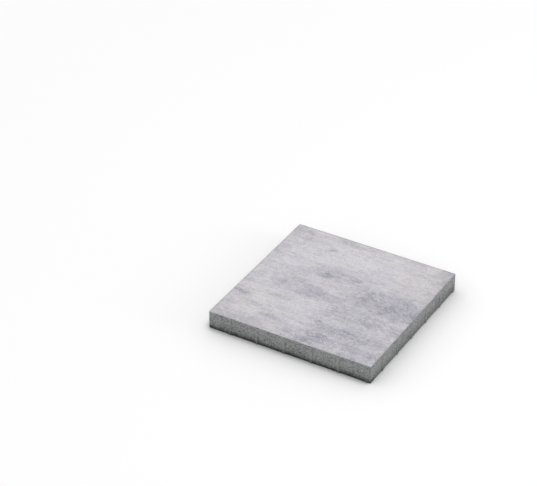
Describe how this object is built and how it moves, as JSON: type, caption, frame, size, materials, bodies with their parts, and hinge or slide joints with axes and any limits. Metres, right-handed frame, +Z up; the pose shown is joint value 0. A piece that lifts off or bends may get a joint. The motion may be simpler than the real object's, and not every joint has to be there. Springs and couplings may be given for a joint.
{
  "type": "concrete paving slab",
  "caption": "Square concrete paving slab with a smooth marbled walking face and upright spacer nibs cast on its sides.",
  "frame": {"origin": "centre of the underside", "axes": "+Z up out of the walking face; X and Y along the sides of the square"},
  "size_m": [0.6, 0.6, 0.065],
  "materials": {
    "concrete": "matt pressed concrete: a smooth pale lilac-grey walking face with streaks of blue-grey, and rougher, darker grey sides"
  },
  "bodies": {
    "root": {"paving_slab": "concrete"}
  },
  "joints": []
}
